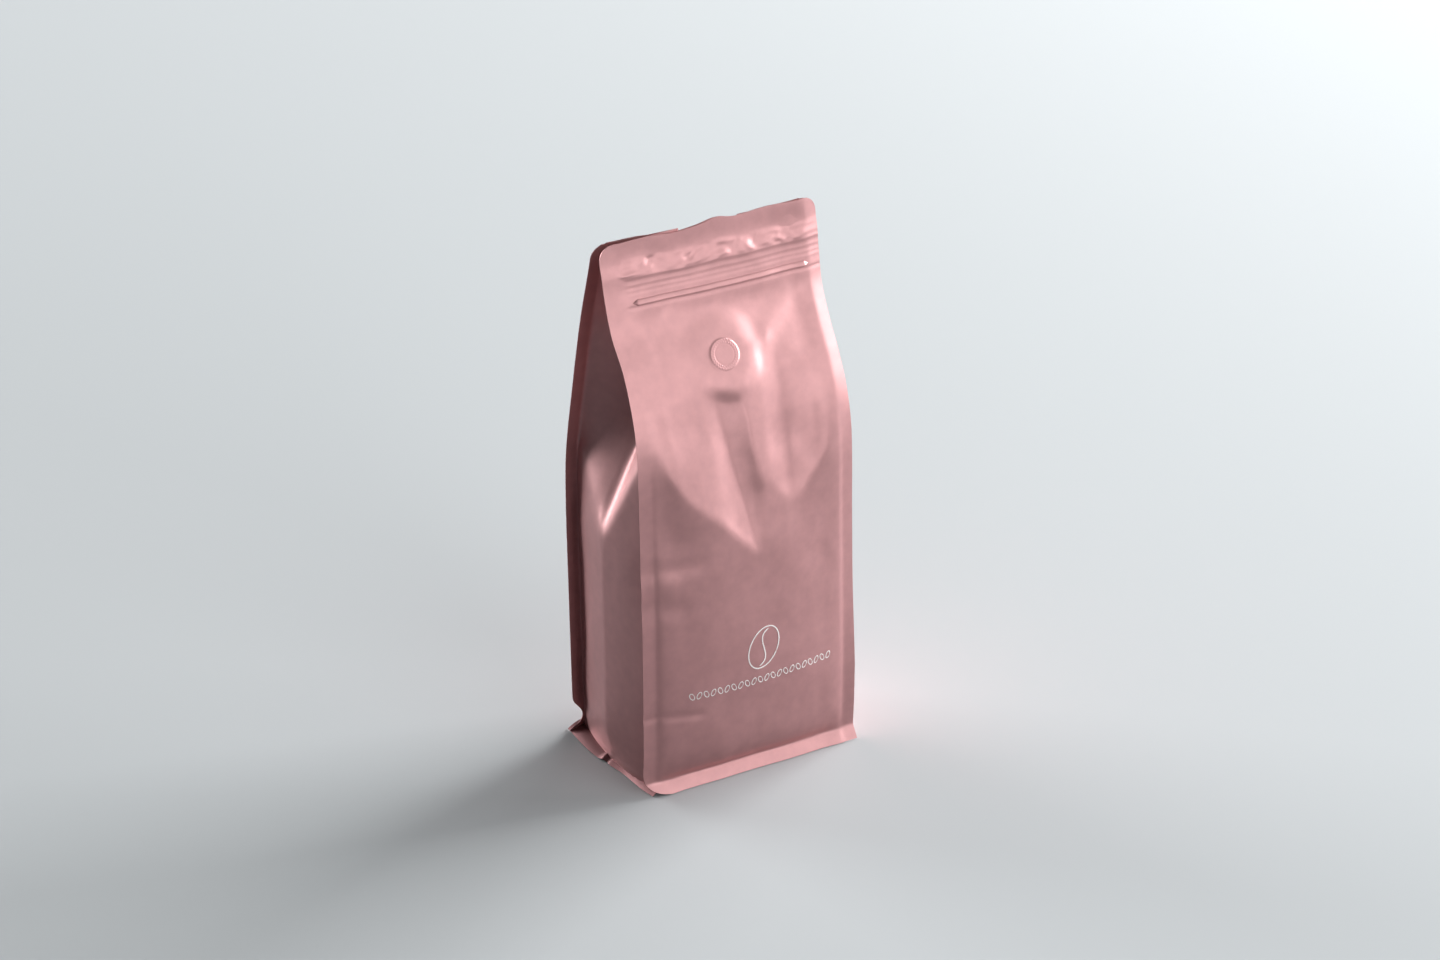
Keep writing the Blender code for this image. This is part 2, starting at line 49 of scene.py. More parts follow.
bag = {
    "height": bagHigh[2],
    "halfWidth": 0.0725,
    "finWidth": 0.0085,
    "filmThickness": 0.0004,
    "flangeWidth": 0.009,
    "flangeSlope": math.radians(56),
    "creaseHeight": 0.0080,
    "topRadius": 0.0095,
    "bottomRadius": 0.017,
    "backReach": 0.05198,  # depth of the back flange before the bag is centred
    # side profiles of the panels at their fins: (height, depth)
    "frontEdge": (
        (0.008, -0.0423), (0.027, -0.0432), (0.090, -0.0433), (0.150, -0.0422), (0.200, -0.0405),
        (0.232, -0.0350), (0.262, -0.0217), (0.283, -0.0088), (0.302, -0.0028), (0.318, 0.0008),
        (0.334, 0.0040)),
    "backEdge": (
        (0.008, 0.0440), (0.030, 0.0450), (0.110, 0.0475), (0.156, 0.0486), (0.190, 0.0470),
        (0.238, 0.0372), (0.282, 0.0268), (0.316, 0.0164), (0.334, 0.0115)),
    # how far the middle of a panel stands out of its fin line: (height, distance)
    "frontBelly": (
        (0.008, 0.0), (0.012, 0.0038), (0.018, 0.0064), (0.028, 0.0079), (0.050, 0.0084), (0.090, 0.0081),
        (0.115, 0.0074), (0.135, 0.0067), (0.190, 0.0048), (0.240, 0.0024), (0.285, 0.0), (0.311, 0.0),
        (0.323, -0.0004), (0.334, -0.0006)),
    "bellyPeak": -0.020,  # the front belly stands out most left of the middle
    "backBelly": (
        (0.008, 0.0), (0.024, 0.0020), (0.060, 0.0030), (0.150, 0.0034), (0.200, 0.0010),
        (0.260, -0.0020), (0.285, -0.0050), (0.300, -0.0078), (0.311, -0.0092), (0.323, -0.0086),
        (0.334, -0.0037)),
    # line where the left facet starts to lean back: (x, height)
    "leftStart": (
        (-0.066, 0.228), (-0.058, 0.213), (-0.051, 0.201), (-0.044, 0.190), (-0.036, 0.181), (-0.022, 0.169),
        (-0.010, 0.156), (0.002, 0.145)),
    # the right of the panel leans softly from rightStart and more from this line
    "rightFacet": (
        (0.004, 0.190), (0.013, 0.186), (0.021, 0.177), (0.030, 0.171), (0.038, 0.178), (0.053, 0.195),
        (0.064, 0.205)),
    "rightStart": 0.147,
    "rightShare": 0.5,  # part of the lean gained before the line, less towards the right edge
    "leftLean": 0.235,
    "rightLean": 0.220,
    # the strip between the two facets: (height, x) of its left and right edges
    "stripLeft": (
        (0.145, 0.001), (0.165, -0.001), (0.180, -0.004), (0.190, -0.006), (0.205, -0.009), (0.225, -0.014),
        (0.240, -0.017), (0.262, -0.018)),
    "stripRight": (
        (0.145, 0.007), (0.165, 0.008), (0.180, 0.009), (0.190, 0.008), (0.210, 0.004), (0.230, 0.002),
        (0.245, -0.002), (0.262, -0.006)),
    # how far the panel stands further back at its right edge: (height, distance)
    "rightSag": (
        (0.050, 0.0), (0.100, 0.0018), (0.150, 0.0026), (0.205, 0.0028), (0.232, 0.0038), (0.262, 0.0053),
        (0.283, 0.0043), (0.302, 0.0035), (0.334, 0.0030)),
    # how much narrower the front is at its fins: (height, distance)
    "waist": ((0.205, 0.0), (0.232, 0.0010), (0.262, 0.0020), (0.283, 0.0012), (0.302, 0.0004), (0.318, 0.0)),
    # fold of the right front fin about its root: (height, degrees)
    "finFold": ((0.050, 0.0), (0.100, 10.0), (0.150, 12.0), (0.334, 12.0)),
    "foldAtTop": 0.0185,
}
bag["root"] = bag["halfWidth"] - bag["finWidth"]
bag["shiftY"] = bagHigh[1] - bag["backReach"]


def curveAt(points, place):
    # smooth curve through (place, value) points, level past both ends
    knots = np.array([p[0] for p in points])
    values = np.array([p[1] for p in points])
    slopes = np.empty(len(knots))
    slopes[1:-1] = (values[2:] - values[:-2]) / (knots[2:] - knots[:-2])
    slopes[0] = (values[1] - values[0]) / (knots[1] - knots[0])
    slopes[-1] = (values[-1] - values[-2]) / (knots[-1] - knots[-2])
    at = np.clip(np.asarray(place, float), knots[0], knots[-1])
    index = np.clip(np.searchsorted(knots, at, side="right") - 1, 0, len(knots) - 2)
    span = knots[index + 1] - knots[index]
    t = (at - knots[index]) / span
    gain = values[index + 1] - values[index]
    rise = slopes[index] * span
    fall = slopes[index + 1] * span
    return values[index] + rise * t + (3 * gain - 2 * rise - fall) * t**2 + (rise + fall - 2 * gain) * t**3


def smoothStep(low, high, value):
    t = np.clip((np.asarray(value, float) - low) / (high - low), 0.0, 1.0)
    return t * t * (3 - 2 * t)


def hashNoise(x, y, seed):
    # smooth value noise in [-1, 1] on a unit lattice
    def corner(i, j):
        n = np.sin(i * 127.1 + j * 311.7 + seed * 74.7) * 43758.5453
        return 2 * (n - np.floor(n)) - 1
    i, j = np.floor(x), np.floor(y)
    u, v = x - i, y - j
    u, v = u * u * (3 - 2 * u), v * v * (3 - 2 * v)
    low = corner(i, j) * (1 - u) + corner(i + 1, j) * u
    high = corner(i, j + 1) * (1 - u) + corner(i + 1, j + 1) * u
    return low * (1 - v) + high * v


def lineDistance(x, z, start, end):
    # distance to a straight stretch, signed side of it and share along it
    dx, dz = end[0] - start[0], end[1] - start[1]
    length = math.hypot(dx, dz)
    share = np.clip(((x - start[0]) * dx + (z - start[1]) * dz) / length**2, 0.0, 1.0)
    away = np.hypot(x - start[0] - share * dx, z - start[1] - share * dz)
    side = ((x - start[0]) * dz - (z - start[1]) * dx) / length
    return away, side, share


# long soft valleys in the front film: route, reach to its left and right, depth
frontFolds = (
    {"route": ((0.0295, 0.171), (0.032, 0.199), (0.0365, 0.225), (0.039, 0.249)),
     "left": 0.022, "right": 0.018, "depth": 0.0004},
)
# short soft wrinkles: start, end, half width, height outward
frontWrinkles = (
    ((-0.002, 0.271), (0.022, 0.2665), 0.0034, -0.00050),
    ((0.008, 0.2630), (0.024, 0.2655), 0.0034, 0.00040),
    ((0.024, 0.2655), (0.046, 0.2840), 0.0060, 0.00045),
    ((0.040, 0.2515), (0.066, 0.2515), 0.0060, 0.00070),
    ((-0.016, 0.2770), (-0.034, 0.2860), 0.0050, 0.00050),
    ((0.006, 0.2470), (0.010, 0.2500), 0.0024, -0.00030),
    ((-0.066, 0.1475), (-0.038, 0.1465), 0.0060, -0.00055),
    ((-0.062, 0.1250), (-0.050, 0.1210), 0.0070, -0.00060),
    ((-0.066, 0.0525), (-0.038, 0.0505), 0.0024, -0.00050),
)
frontDents = (
    {"at": (-0.056, 0.178), "size": (0.010, 0.026), "depth": 0.0016},
    {"at": (-0.046, 0.160), "size": (0.011, 0.012), "depth": 0.0008},
)


def ramp(distance, soft):
    # a straight slope that starts softly at distance 0
    bend = np.clip(distance + soft, 0.0, 2 * soft)
    return bend * bend / (4 * soft) + np.maximum(distance - soft, 0.0)


def crown(x, height, peak=0.0):
    away = np.where(x < peak, peak - x, x - peak) / np.where(x < peak, bag["root"] + peak, bag["root"] - peak)
    away = np.minimum(away, 1.0)
    pleat = np.minimum((bag["root"] - np.minimum(np.abs(x), bag["root"])) / (bag["root"] - bag["foldAtTop"]), 1.0)
    pleat = pleat * pleat * (3 - 2 * pleat)
    share = smoothStep(0.200, 0.300, height)
    cushion = 1 - 0.8 * away**2 - 0.2 * away**8
    return cushion * (1 - share) + pleat * share


def leaningFront(x, height):
    sag = curveAt(bag["rightSag"], height) * smoothStep(-0.010, bag["root"], x)
    edge = curveAt(bag["frontEdge"], height) + sag
    belly = curveAt(bag["frontBelly"], height) * crown(x, height, bag["bellyPeak"])
    low = np.minimum(height, 0.135)
    held = curveAt(bag["frontBelly"], low) * crown(x, low, bag["bellyPeak"])
    sagHeld = curveAt(bag["rightSag"], np.minimum(height, 0.180)) * smoothStep(-0.010, bag["root"], x)
    upright = curveAt(bag["frontEdge"], np.minimum(height, 0.180)) - held + sagHeld
    left = bag["leftLean"] * ramp(height - curveAt(bag["leftStart"], x), 0.0030)
    share = bag["rightShare"] * (1 - smoothStep(0.024, 0.060, x))
    right = share * ramp(height - bag["rightStart"], 0.010)
    right = bag["rightLean"] * (right + (1 - share) * ramp(height - curveAt(bag["rightFacet"], x), 0.0030))
    stripLeft, stripRight = curveAt(bag["stripLeft"], height), curveAt(bag["stripRight"], height)
    across = np.clip((x - stripLeft) / (stripRight - stripLeft), 0.0, 1.0)
    facets = upright + left * (1 - across) + right * across
    # the facets end where they meet the shoulder under the zip
    shoulder = edge - belly - 0.012 * (1 - smoothStep(0.190, 0.235, height))
    gap = facets - shoulder
    lower = (facets + shoulder + np.sqrt(gap * gap + 0.0055**2)) / 2
    lower = lower * (1 - smoothStep(0.276, 0.296, height)) + (edge - belly) * smoothStep(0.276, 0.296, height)
    hold = smoothStep(0.046, bag["root"], np.abs(x))
    return lower * (1 - hold) + (edge - belly) * hold


valve = {"radius": 0.0099, "x": -0.0052, "height": 0.2625, "padRadius": 0.0110, "padFade": 0.0165, "gap": 0.0001,
         "beads": 30}


def valvePlane():
    step = 0.008
    x, z = valve["x"], valve["height"]
    depth = float(leaningFront(np.array(x), np.array(z)))
    slopeX = float(leaningFront(np.array(x + step), np.array(z)) - leaningFront(np.array(x - step), np.array(z)))
    slopeZ = float(leaningFront(np.array(x), np.array(z + step)) - leaningFront(np.array(x), np.array(z - step)))
    return depth, slopeX / (2 * step), slopeZ / (2 * step)


valve["plane"] = valvePlane()

zipTrack = {
    "left": -0.0550, "right": 0.0625, "height": 0.2978, "drop": 0.0022, "half": 0.0017, "proud": 0.0010,
    # lines pressed by the tape: distance from the rib, half width, height outward
    "lines": ((-0.0028, 0.0008, -0.00030), (0.0040, 0.0006, 0.00015), (0.0068, 0.0006, 0.00018), (0.0100, 0.0007, 0.00018),
              (0.0143, 0.0008, 0.00034)),
    "bulge": (-0.0020, 0.0085, 0.0009),  # the film lies over the thickness of the zip
}


# the film above the zip: distance above the rib, distance outward
header = {"tilt": ((0.0, 0.0), (0.0080, 0.0004), (0.0145, 0.0009), (0.0160, 0.0010), (0.0240, -0.0001), (0.0365, 0.0010))}


def zipHeight(x):
    share = (x - zipTrack["left"]) / (zipTrack["right"] - zipTrack["left"])
    return zipTrack["height"] + zipTrack["drop"] * (0.5 - share)


def frontRelief(x, height):
    # distance outward of creases, dents and pressed lines
    out = np.zeros_like(x)
    for fold in frontFolds:
        heights = [p[1] for p in fold["route"]]
        middle = curveAt([(p[1], p[0]) for p in fold["route"]], height)
        along = (height - heights[0]) / (heights[-1] - heights[0])
        strength = smoothStep(0.0, 0.16, along) * (1 - smoothStep(0.55, 1.0, along))
        away = np.where(x < middle, (middle - x) / fold["left"], (x - middle) / fold["right"])
        out -= fold["depth"] * strength * np.maximum(1 - away, 0.0)**1.3
    for start, end, width, rise in frontWrinkles:
        away, side, share = lineDistance(x, height, start, end)
        out += rise * np.exp(-(away / width)**2)
    for dent in frontDents:
        u = (x - dent["at"][0]) / dent["size"][0]
        v = (height - dent["at"][1]) / dent["size"][1]
        out -= dent["depth"] * np.exp(-(u * u + v * v))
    above = height - zipHeight(x)
    tape = smoothStep(-0.0600, -0.0560, x) * (1 - smoothStep(0.0640, 0.0665, x))
    for away, width, rise in zipTrack["lines"]:
        out += rise * np.exp(-((above - away) / width)**2) * tape
    away, width, rise = zipTrack["bulge"]
    wide = smoothStep(-0.0680, -0.0500, x) * (1 - smoothStep(0.0560, 0.0700, x))
    out += rise * np.exp(-((above - away) / width)**2) * wide
    out += curveAt(header["tilt"], above) * smoothStep(0.002, 0.016, bag["halfWidth"] - np.abs(x))
    band = smoothStep(0.0148, 0.0160, above) * (1 - smoothStep(0.0220, 0.0250, above))
    band *= smoothStep(-0.066, -0.056, x) * (1 - smoothStep(0.060, 0.067, x))
    slant = x + 0.55 * height
    pucker = 0.0009 * (0.5 - np.abs(hashNoise(slant / 0.0072, height / 0.0060, 3)))
    pucker += 0.0006 * (0.5 - np.abs(hashNoise((x - 0.8 * height) / 0.0048, height / 0.0048, 5)))
    out += band * pucker
    root = np.abs(np.abs(x) - bag["root"] - 0.0004)
    out -= 0.0005 * np.exp(-(root / 0.0013)**2) * (1 - smoothStep(0.19, 0.23, height))
    soft = 0.00045 * hashNoise(x / 0.026, height / 0.034, 11) + 0.00022 * hashNoise(x / 0.011, height / 0.015, 12)
    away = np.hypot(x - valve["x"], height - valve["height"])
    calm = smoothStep(valve["padRadius"], valve["padRadius"] + valve["padFade"], away)
    inner = 1 - smoothStep(0.052, 0.063, np.abs(x))
    return (out + soft * inner) * calm


def frontDepth(x, height):
    depth, slopeX, slopeZ = valve["plane"]
    plane = depth + slopeX * (x - valve["x"]) + slopeZ * (height - valve["height"])
    away = np.hypot(x - valve["x"], height - valve["height"])
    free = smoothStep(valve["padRadius"], valve["padRadius"] + valve["padFade"], away)
    return plane * (1 - free) + leaningFront(x, height) * free - frontRelief(x, height)


def backDepth(x, height):
    depth = curveAt(bag["backEdge"], height) + curveAt(bag["backBelly"], height) * crown(x, height)
    inner = 1 - smoothStep(0.052, 0.063, np.abs(x))
    soft = 0.0005 * hashNoise(x / 0.030, height / 0.040, 21) + 0.00022 * hashNoise(x / 0.012, height / 0.016, 22)
    return depth + soft * inner


def topWave(x):
    bump = 0.0020 * np.exp(-((x - 0.005) / 0.0075)**2) - 0.0011 * np.exp(-((x + 0.022) / 0.024)**2)
    return bump + 0.0004 * np.sin(x / 0.0062 + 1.9)


def cornerCut(radius, distance):
    inside = np.clip(radius - distance, 0.0, radius)
    return radius - np.sqrt(np.maximum(radius**2 - inside**2, 0.0))


def tipReach(side, hand, level):
    belowTop = bag["height"] - bag["creaseHeight"] - level
    reach = bag["halfWidth"] - cornerCut(bag["topRadius"], belowTop)
    if side < 0 and hand < 0:
        reach = reach - cornerCut(bag["bottomRadius"], level + bag["flangeWidth"])
    if side > 0:
        notch = np.maximum(1 - np.abs(level - 0.005) / 0.012, 0.0)
        reach = reach - 0.0072 * smoothStep(0.0, 1.0, notch)
    return reach


def panelSurface(side, across, level):
    # outer skin of a panel; across runs from -1 to 1 between the fin tips
    height = bag["creaseHeight"] + np.maximum(level, 0.0)
    tip = np.where(across < 0, tipReach(side, -1, level), tipReach(side, 1, level))
    reach = np.abs(across) * tip
    along = np.minimum(reach, bag["root"])
    beyond = reach - along
    hand = np.where(across < 0, -1.0, 1.0)
    if side < 0:
        fold = np.radians(curveAt(bag["finFold"], height)) * (across > 0)
        depth = frontDepth(hand * along, height)
    else:
        fold = np.radians(6.0) * np.ones_like(height)
        depth = backDepth(hand * along, height)
    x = hand * (along + beyond * np.cos(fold))
    if side < 0:
        x = x * (1 - curveAt(bag["waist"], height) / bag["halfWidth"])
    y = depth - side * beyond * np.sin(fold)
    below = np.maximum(-level, 0.0)
    y = y + side * math.cos(bag["flangeSlope"]) * below
    nearTop = smoothStep(0.300, bag["height"], height)
    z = height - math.sin(bag["flangeSlope"]) * below + topWave(x) * nearTop
    if side > 0:
        z = z - 0.0016 * smoothStep(0.322, bag["height"], height)
    return np.stack([x, y, z], axis=-1)


def softened(grid, rows, columns):
    # rounds folds: blurs positions along rows and columns, keeping the rim in place
    for axis, sigma in ((0, rows), (1, columns)):
        if sigma <= 0:
            continue
        reach = int(math.ceil(3 * sigma))
        kernel = np.exp(-0.5 * (np.arange(-reach, reach + 1) / sigma)**2)
        kernel /= kernel.sum()
        moved = np.moveaxis(grid, axis, 0)
        head = 2 * moved[:1] - moved[reach:0:-1]
        tail = 2 * moved[-1:] - moved[-2:-reach - 2:-1]
        padded = np.concatenate([head, moved, tail])
        total = sum(weight * padded[i:i + len(moved)] for i, weight in enumerate(kernel))
        grid = np.moveaxis(total, 0, axis)
    return grid


def gridNormals(grid):
    along = np.gradient(grid, axis=1)
    up = np.gradient(grid, axis=0)
    normal = np.cross(along, up)
    length = np.linalg.norm(normal, axis=-1, keepdims=True)
    return normal / np.maximum(length, 1e-12)


def sheetParts(outer, inner):
    # points and faces of one closed sheet from an outer and an inner skin with the same grid
    rows, columns = outer.shape[:2]
    count = rows * columns
    points = np.concatenate([outer.reshape(-1, 3), inner.reshape(-1, 3)])
    index = np.arange(count).reshape(rows, columns)
    quads = np.stack([index[:-1, :-1], index[:-1, 1:], index[1:, 1:], index[1:, :-1]], axis=-1).reshape(-1, 4)
    rim = np.concatenate([index[0, :-1], index[:-1, -1], index[-1, :0:-1], index[:0:-1, 0]])
    after = np.roll(rim, -1)
    sides = np.stack([after, rim, rim + count, after + count], axis=-1)
    return points, np.concatenate([quads, quads[:, ::-1] + count, sides])


def closedSheet(name, outer, inner):
    points, faces = sheetParts(outer, inner)
    return meshPiece(name, points, faces)


def meshPiece(name, points, faces):
    mesh = bpy.data.meshes.new(name)
    mesh.from_pydata((points + np.array((0.0, bag["shiftY"], 0.0))).tolist(), [], [list(f) for f in faces])
    mesh.validate()
    mesh.update()
    mesh.shade_smooth()
    mesh.set_sharp_from_angle(angle=math.radians(60))
    piece = bpy.data.objects.new(name, mesh)
    bpy.context.scene.collection.objects.link(piece)
    return piece


def finishPiece(piece, material, slot, *nodes):
    piece.data.materials.clear()
    piece.data.materials.append(material)
    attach(piece, "root")
    if nodes:
        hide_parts(*nodes)
    print("made", piece.name, len(piece.data.polygons), "faces")
    return piece


def steps(*spans):
    # places along (start, end, step) spans, each place once
    places = [spans[0][0]]
    for start, end, step in spans:
        count = max(int(round((end - start) / step)), 1)
        places += [start + (end - start) * i / count for i in range(1, count + 1)]
    return np.array(places)


def grainGroup():
    # film grain, cloudy gloss and fine scuffs, shared by every film
    group = bpy.data.node_groups.new("filmGrain", "ShaderNodeTree")
    for label, kind, value in (("Scale", "NodeSocketFloat", 1.0), ("Cloud", "NodeSocketFloat", 0.08),
                               ("Roughness", "NodeSocketFloat", 0.4), ("Tint", "NodeSocketColor", (1, 1, 1, 1))):
        socket = group.interface.new_socket(label, in_out="INPUT", socket_type=kind)
        socket.default_value = value
    group.interface.new_socket("Color", in_out="OUTPUT", socket_type="NodeSocketColor")
    group.interface.new_socket("Roughness", in_out="OUTPUT", socket_type="NodeSocketFloat")
    group.interface.new_socket("Height", in_out="OUTPUT", socket_type="NodeSocketFloat")
    nodes, links = group.nodes, group.links
    given = nodes.new("NodeGroupInput")
    result = nodes.new("NodeGroupOutput")
    place = nodes.new("ShaderNodeTexCoord")
    scale = nodes.new("ShaderNodeVectorMath")
    scale.operation = "SCALE"
    links.new(place.outputs["Object"], scale.inputs[0])
    links.new(given.outputs["Scale"], scale.inputs["Scale"])

    def noise(size, detail, rough):
        node = nodes.new("ShaderNodeTexNoise")
        node.inputs["Scale"].default_value = size
        node.inputs["Detail"].default_value = detail
        node.inputs["Roughness"].default_value = rough
        links.new(scale.outputs[0], node.inputs["Vector"])
        return node

    cloud = noise(38.0, 3.0, 0.55)
    grain = noise(2600.0, 2.0, 0.6)
    ripple = noise(150.0, 3.0, 0.5)
    centred = nodes.new("ShaderNodeMath")
    centred.operation = "SUBTRACT"
    centred.inputs[1].default_value = 0.5
    links.new(cloud.outputs["Fac"], centred.inputs[0])
    swing = nodes.new("ShaderNodeMath")
    swing.operation = "MULTIPLY"
    links.new(centred.outputs[0], swing.inputs[0])
    links.new(given.outputs["Cloud"], swing.inputs[1])
    rough = nodes.new("ShaderNodeMath")
    rough.operation = "ADD"
    links.new(swing.outputs[0], rough.inputs[0])
    links.new(given.outputs["Roughness"], rough.inputs[1])
    links.new(rough.outputs[0], result.inputs["Roughness"])
    shade = nodes.new("ShaderNodeMapRange")
    shade.inputs["From Min"].default_value = 0.25
    shade.inputs["From Max"].default_value = 0.75
    shade.inputs["To Min"].default_value = 0.94
    shade.inputs["To Max"].default_value = 1.05
    links.new(ripple.outputs["Fac"], shade.inputs["Value"])
    tinted = nodes.new("ShaderNodeMix")
    tinted.data_type = "RGBA"
    tinted.blend_type = "MULTIPLY"
    tinted.inputs["Factor"].default_value = 1.0
    links.new(given.outputs["Tint"], tinted.inputs[6])
    links.new(shade.outputs["Result"], tinted.inputs[7])
    links.new(tinted.outputs[2], result.inputs["Color"])
    mixed = nodes.new("ShaderNodeMath")
    mixed.operation = "MULTIPLY_ADD"
    mixed.inputs[1].default_value = 0.35
    links.new(grain.outputs["Fac"], mixed.inputs[0])
    links.new(ripple.outputs["Fac"], mixed.inputs[2])
    links.new(mixed.outputs[0], result.inputs["Height"])
    return group


filmGrain = grainGroup()


def filmMaterial(name, look):
    material = bpy.data.materials.new(name)
    material.use_nodes = True
    nodes, links = material.node_tree.nodes, material.node_tree.links
    shader = nodes["Principled BSDF"]
    shader.inputs["Metallic"].default_value = look["metallic"]
    shader.inputs["IOR"].default_value = 1.5
    shader.inputs["Coat Weight"].default_value = look["coat"]
    shader.inputs["Coat Roughness"].default_value = look["coatRoughness"]
    grain = nodes.new("ShaderNodeGroup")
    grain.node_tree = filmGrain
    grain.inputs["Scale"].default_value = look["scale"]
    grain.inputs["Cloud"].default_value = look["cloud"]
    grain.inputs["Roughness"].default_value = look["roughness"]
    grain.inputs["Tint"].default_value = (*look["color"], 1.0)
    links.new(grain.outputs["Color"], shader.inputs["Base Color"])
    links.new(grain.outputs["Roughness"], shader.inputs["Roughness"])
    bump = nodes.new("ShaderNodeBump")
    bump.inputs["Strength"].default_value = look["bump"]
    bump.inputs["Distance"].default_value = 0.0003
    links.new(grain.outputs["Height"], bump.inputs["Height"])
    links.new(bump.outputs["Normal"], shader.inputs["Normal"])
    return material


filmLook = {"color": (0.62, 0.322, 0.326), "metallic": 0.6, "roughness": 0.45, "coat": 0.25, "coatRoughness": 0.40,
            "cloud": 0.08, "scale": 1.0, "bump": 0.25}
inkLook = dict(filmLook, color=(0.92, 0.88, 0.87), metallic=0.0, roughness=0.55, bump=0.15, coat=0.0)
filmRose = filmMaterial("filmRose", filmLook)
printInk = filmMaterial("printInk", inkLook)
filmPaintedShade = filmMaterial("filmPaintedShade", dict(filmLook, color=(0.30, 0.13, 0.135), coat=0.1))  # painted shade: the film colour darkened for the side lips, standing in for the shade they lie in beside the bag


panelMesh = {
    "frontColumn": 0.00112,
    "backColumn": 0.0019,
    "frontRows": ((-0.009, 0.0, 0.0010), (0.0, 0.277, 0.00120), (0.277, 0.326, 0.00055)),
    "backRows": ((-0.009, 0.0, 0.0012), (0.0, 0.326, 0.0019)),
}


def makePanel(name, side, column, rows):
    count = int(round(2 * bag["halfWidth"] / column))
    across, level = np.meshgrid(np.linspace(-1.0, 1.0, count + 1), steps(*rows))
    outer = softened(panelSurface(side, across, level), 0.9, 0.8)
    normals = gridNormals(outer) * (1 if side < 0 else -1)
    inner = outer - normals * bag["filmThickness"]
    if side > 0:
        outer, inner = outer[:, ::-1], inner[:, ::-1]
    return closedSheet(name, outer, inner)


frontPanel = finishPiece(
    makePanel("frontPanel", -1, panelMesh["frontColumn"], panelMesh["frontRows"]), filmRose, "bag_film", "bag")
backPanel = finishPiece(
    makePanel("backPanel", 1, panelMesh["backColumn"], panelMesh["backRows"]), filmRose, "bag_film", "bag")


gusset = {
    "half": 0.0456,
    "ridge": 0.0732,
    "forkHeight": 0.1525,
    "frontTop": 0.226,
    "backTop": 0.195,
    "rowStep": 0.0015,
    "steps": 92,
    "thickness": 0.0003,
    "round": 0.9,
    "foot": 0.0016,
    "footRound": 0.0060,
    "footTuck": 0.0045,
}


def panelInside(side, hand, share, height):
    # inner skin of a panel at a share of the way from fin root (0) to fin tip (1)
    level = height - bag["creaseHeight"]
    tip = float(tipReach(side, hand, np.array(level)))
    reach = bag["root"] + (max(tip, bag["root"]) - bag["root"]) * share
    point = panelSurface(side, np.array(hand * reach / tip), np.array(level))
    film = bag["filmThickness"] * 1.02
    fold = math.radians(float(curveAt(bag["finFold"], height))) if side < 0 < hand and share > 0 else 0.0
    return point + np.array((-hand * math.sin(fold), -side * math.cos(fold), 0.0)) * film


def foldReach(front, back):
    halfGap = min((back[1] - front[1]) / 2, gusset["half"])
    return bag["root"] - math.sqrt(gusset["half"]**2 - halfGap**2)


def gussetFold(hand, height):
    front, back = panelInside(-1, hand, 0.0, height), panelInside(1, hand, 0.0, height)
    middle = (front[1] + back[1]) / 2
    if height <= gusset["forkHeight"]:
        swell = float(smoothStep(-0.012, 0.034, height))
        return np.array((hand * (bag["root"] + 0.003 + (gusset["ridge"] - bag["root"] - 0.003) * swell), middle, height))
    if height < gusset["frontTop"]:
        inner = foldReach(panelInside(-1, hand, 0.0, gusset["frontTop"]), panelInside(1, hand, 0.0, gusset["frontTop"]))
        share = (height - gusset["forkHeight"]) / (gusset["frontTop"] - gusset["forkHeight"])
        return np.array((hand * (gusset["ridge"] + (inner - gusset["ridge"]) * share), middle, height))
    reach = foldReach(front, back)
    x, z = np.array(hand * reach), np.array(height)
    between = float(leaningFront(x, z) + curveAt(bag["backEdge"], z) + curveAt(bag["backBelly"], z) * crown(x, z)) / 2
    blend = float(smoothStep(gusset["frontTop"], 0.300, height))
    return np.array((hand * reach, middle + (between - middle) * blend, height))


def gussetHalf(side, hand, height, fork):
    held = max(height, bag["creaseHeight"] + 0.0005)
    root = panelInside(side, hand, 0.0, held)
    fold = gussetFold(hand, held)
    top = gusset["frontTop"] if side < 0 else gusset["backTop"]
    tip = panelInside(side, hand, 1.0, held)
    corners = [tip if height == held else root + (tip - root) * 0.1, root]
    if gusset["forkHeight"] <= height <= top:
        share = (height - gusset["forkHeight"]) / (top - gusset["forkHeight"])
        corners.append(fork + (panelInside(side, hand, 0.0, top) - fork) * share)
    corners.append(fold)
    if height < held:
        corners = [np.array((corner[0], corner[1], height)) for corner in corners]
    return corners


def resampled(corners, count):
    corners = np.array(corners)
    lengths = np.linalg.norm(np.diff(corners, axis=0), axis=1)
    along = np.concatenate([[0.0], np.cumsum(lengths)])
    at = np.linspace(0.0, along[-1], count)
    return np.stack([np.interp(at, along, corners[:, k]) for k in range(3)], axis=-1)


